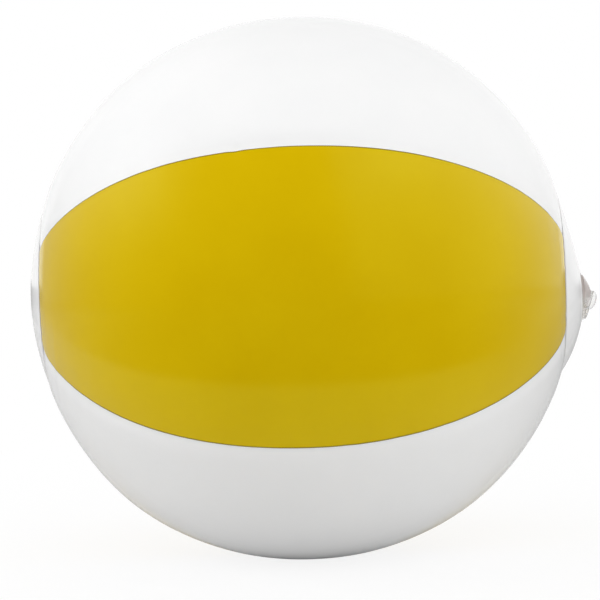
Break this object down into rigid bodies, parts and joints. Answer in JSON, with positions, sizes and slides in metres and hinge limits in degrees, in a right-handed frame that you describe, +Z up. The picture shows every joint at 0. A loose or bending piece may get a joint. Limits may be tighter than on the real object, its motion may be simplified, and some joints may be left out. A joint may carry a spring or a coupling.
{
  "type": "beach ball",
  "caption": "Inflated ball of alternating yellow and white film panels, with round end discs and a clear plug valve at its pole.",
  "frame": {"origin": "middle of the flat patch where the ball rests on the floor", "axes": "+X along the ball's pole axis towards the valve, +Z up, -Y towards the front yellow panel"},
  "size_m": [0.293, 0.2798, 0.2777],
  "materials": {
    "yellow_film": "glossy soft vinyl film",
    "white_film": "glossy soft vinyl film",
    "clear_vinyl": "clear glossy soft vinyl moulding"
  },
  "bodies": {
    "ball": {"front_yellow_panel": "yellow_film", "upper_front_white_panel": "white_film", "upper_rear_yellow_panel": "yellow_film", "rear_white_panel": "white_film", "lower_rear_yellow_panel": "yellow_film", "lower_front_white_panel": "white_film", "plain_end_disc": "white_film", "valve_end_disc": "white_film", "valve_flange": "clear_vinyl", "valve_web": "clear_vinyl"},
    "valve": {"valve_neck": "clear_vinyl", "cap_strap": "clear_vinyl"},
    "plug": {"cap_plug": "clear_vinyl"},
    "flap": {"check_flap": "clear_vinyl"}
  },
  "joints": [
    {"name": "neck_push", "type": "slide", "parent": "ball", "child": "valve", "axis": [1, 0, 0], "range_m": [-0.007, 0.008], "deforming": ["valve_web"]},
    {"name": "plug_pull", "type": "slide", "parent": "valve", "child": "plug", "axis": [0.9511, 0, -0.309], "range_m": [0, 0.012], "deforming": ["cap_strap"]},
    {"name": "flap_swing", "type": "hinge", "parent": "valve", "child": "flap", "pos_m": [0.13637, 0, 0.13683], "axis": [0, 1, 0], "range_deg": [0, 70], "stiffness_Nm_per_rad": 0.0002}
  ]
}
